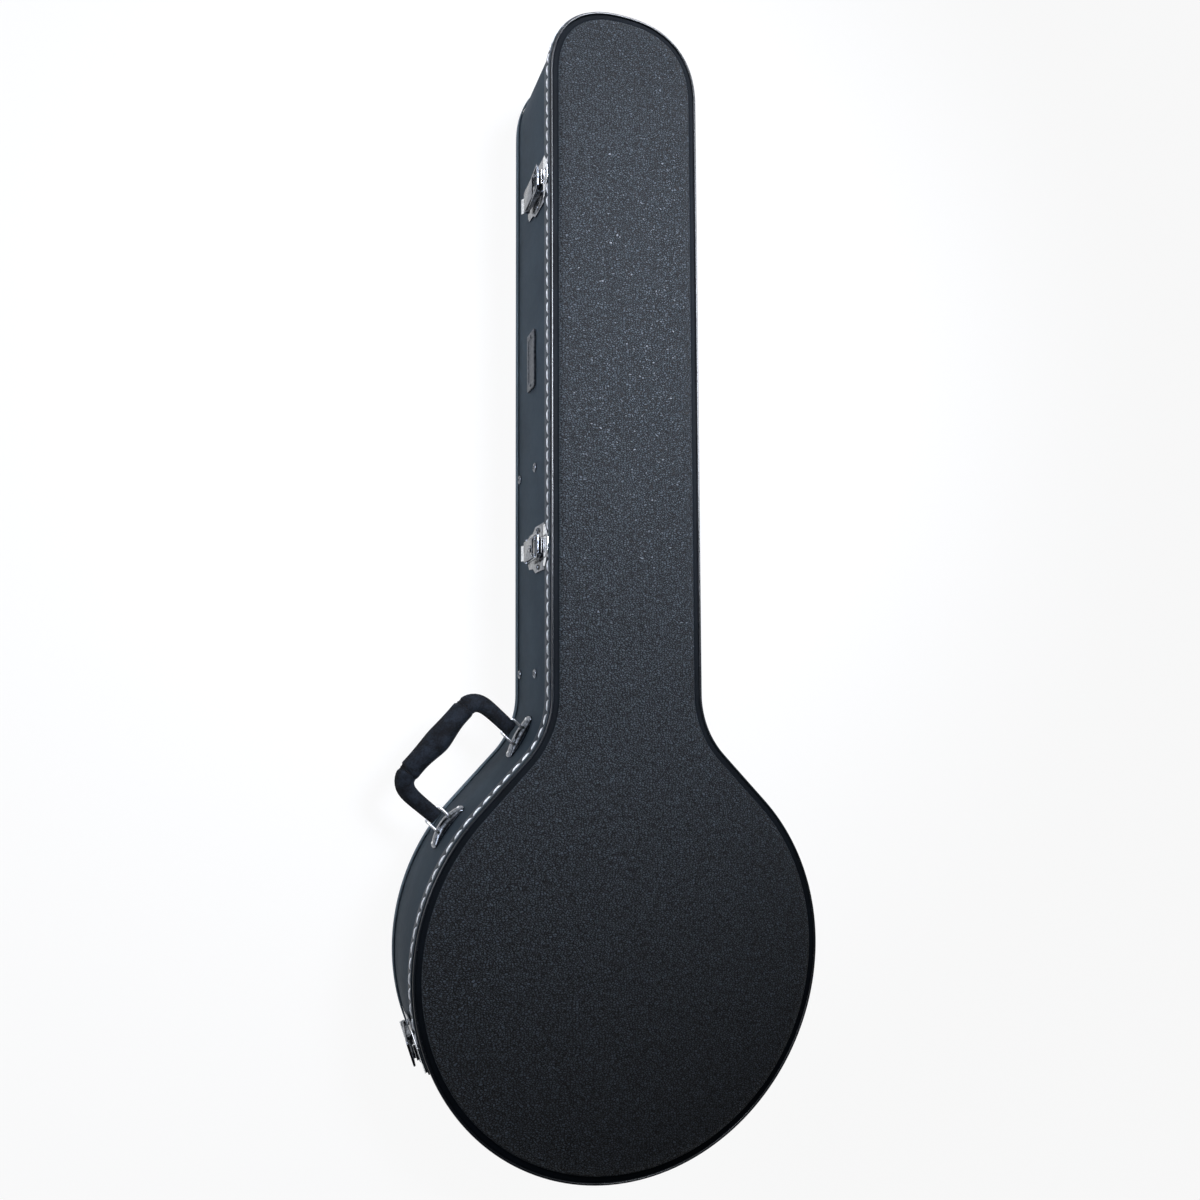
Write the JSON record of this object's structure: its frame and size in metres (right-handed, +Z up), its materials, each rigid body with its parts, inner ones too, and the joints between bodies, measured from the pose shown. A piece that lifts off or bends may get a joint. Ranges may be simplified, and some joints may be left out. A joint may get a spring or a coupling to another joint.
{
  "type": "banjo case",
  "caption": "Hard-shell banjo case with a round body, hollow shoulders and a straight neck part, hinged padded lid, draw latches and a carrying handle.",
  "frame": {"origin": "centre of the round body on the underside that the case lies on", "axes": "+Z up through the lid, +Y from the round body to the head end, -X the side with the latches and the handle, +X the hinge side"},
  "size_m": [0.4017, 1.0706, 0.1227],
  "materials": {
    "vinyl_grained": "black grained vinyl over foam",
    "vinyl_side": "plywood covered in smooth black vinyl",
    "vinyl_lid": "plywood covered in black vinyl",
    "vinyl_trim": "black vinyl trim",
    "plush": "dark plush",
    "board": "board covered in dark plush",
    "chrome": "polished chrome plating",
    "handle_leather": "black leather"
  },
  "bodies": {
    "base": {"side_wall": "vinyl_side", "back_panel": "vinyl_side", "back_edge_welt": "vinyl_trim", "floor_lining": "plush", "wall_lining": "plush", "cradle_board_lower": "board", "cradle_board_upper": "board", "compartment_hinge_rod": "chrome", "cradle_screw_1": "chrome", "cradle_screw_2": "chrome", "cradle_screw_3": "chrome", "cradle_screw_4": "chrome", "name_plate": "chrome", "name_plate_pin_1": "chrome", "name_plate_pin_2": "chrome", "latch_upper_plate": "chrome", "latch_upper_pivot_pin": "chrome", "latch_upper_rivet_1": "chrome", "latch_upper_rivet_2": "chrome", "latch_middle_plate": "chrome", "latch_middle_pivot_pin": "chrome", "latch_middle_rivet_1": "chrome", "latch_middle_rivet_2": "chrome", "latch_lower_plate": "chrome", "latch_lower_pivot_pin": "chrome", "latch_lower_rivet_1": "chrome", "latch_lower_rivet_2": "chrome", "handle_upper_plate": "chrome", "handle_upper_plate_rivet_1": "chrome", "handle_upper_plate_rivet_2": "chrome", "handle_lower_plate": "chrome", "handle_lower_plate_rivet_1": "chrome", "handle_lower_plate_rivet_2": "chrome", "body_hinge_base_leaf": "chrome", "body_hinge_pin": "chrome", "head_hinge_base_leaf": "chrome", "head_hinge_pin": "chrome"},
    "lid": {"lid_rim": "vinyl_lid", "lid_panel": "vinyl_lid", "lid_lining": "plush", "lid_cover": "vinyl_grained", "lid_piping": "vinyl_trim", "stitched_valance": "vinyl_trim", "latch_upper_keeper": "chrome", "latch_middle_keeper": "chrome", "latch_lower_keeper": "chrome", "body_hinge_lid_leaf": "chrome", "head_hinge_lid_leaf": "chrome"},
    "carrying_handle": {"handle_grip": "handle_leather", "handle_loop_upper": "chrome", "handle_loop_lower": "chrome"},
    "compartment_cover": {"compartment_lid": "board", "compartment_pull_tab": "handle_leather"},
    "upper_lever": {"latch_upper_lever": "chrome"},
    "upper_yoke": {"latch_upper_yoke": "chrome"},
    "middle_lever": {"latch_middle_lever": "chrome"},
    "middle_yoke": {"latch_middle_yoke": "chrome"},
    "lower_lever": {"latch_lower_lever": "chrome"},
    "lower_yoke": {"latch_lower_yoke": "chrome"},
    "lock": {"lock_plug": "chrome"}
  },
  "joints": [
    {"name": "lid_hinge", "type": "hinge", "parent": "base", "child": "lid", "pos_m": [0.19386, 0.02889, 0.102], "axis": [-0.1474, 0.9891, 0], "range_deg": [0, 105]},
    {"name": "handle_swing", "type": "hinge", "parent": "base", "child": "carrying_handle", "pos_m": [-0.12085, 0.15686, 0.06], "axis": [0.6659, 0.746, 0], "range_deg": [-48, 60]},
    {"name": "compartment_cover_hinge", "type": "hinge", "parent": "base", "child": "compartment_cover", "pos_m": [0.0582, 0.351, 0.043], "axis": [0, 1, 0], "range_deg": [0, 30]},
    {"name": "upper_lever_pivot", "type": "hinge", "parent": "base", "child": "upper_lever", "pos_m": [-0.0784, 0.71116, 0.089], "axis": [0, 1, 0], "range_deg": [0, 110]},
    {"name": "upper_yoke_pivot", "type": "hinge", "parent": "upper_lever", "child": "upper_yoke", "pos_m": [-0.0784, 0.71116, 0.059], "axis": [0, 1, 0], "range_deg": [-138, 0]},
    {"name": "middle_lever_pivot", "type": "hinge", "parent": "base", "child": "middle_lever", "pos_m": [-0.0784, 0.36908, 0.089], "axis": [0, 1, 0], "range_deg": [0, 110]},
    {"name": "middle_yoke_pivot", "type": "hinge", "parent": "middle_lever", "child": "middle_yoke", "pos_m": [-0.0784, 0.36908, 0.059], "axis": [0, 1, 0], "range_deg": [-138, 0]},
    {"name": "lower_lever_pivot", "type": "hinge", "parent": "base", "child": "lower_lever", "pos_m": [-0.18774, -0.061, 0.089], "axis": [-0.309, 0.9511, 0], "range_deg": [0, 110]},
    {"name": "lower_yoke_pivot", "type": "hinge", "parent": "lower_lever", "child": "lower_yoke", "pos_m": [-0.18774, -0.061, 0.059], "axis": [-0.309, 0.9511, 0], "range_deg": [-138, 0]},
    {"name": "lock_turn", "type": "hinge", "parent": "middle_lever", "child": "lock", "pos_m": [-0.081, 0.36908, 0.078], "axis": [-1, 0, 0], "range_deg": [0, 90]}
  ],
  "couplings": [
    {"joint": "upper_yoke_pivot", "follows": "upper_lever_pivot", "ratio": -1.25},
    {"joint": "middle_yoke_pivot", "follows": "middle_lever_pivot", "ratio": -1.25},
    {"joint": "lower_yoke_pivot", "follows": "lower_lever_pivot", "ratio": -1.25}
  ]
}
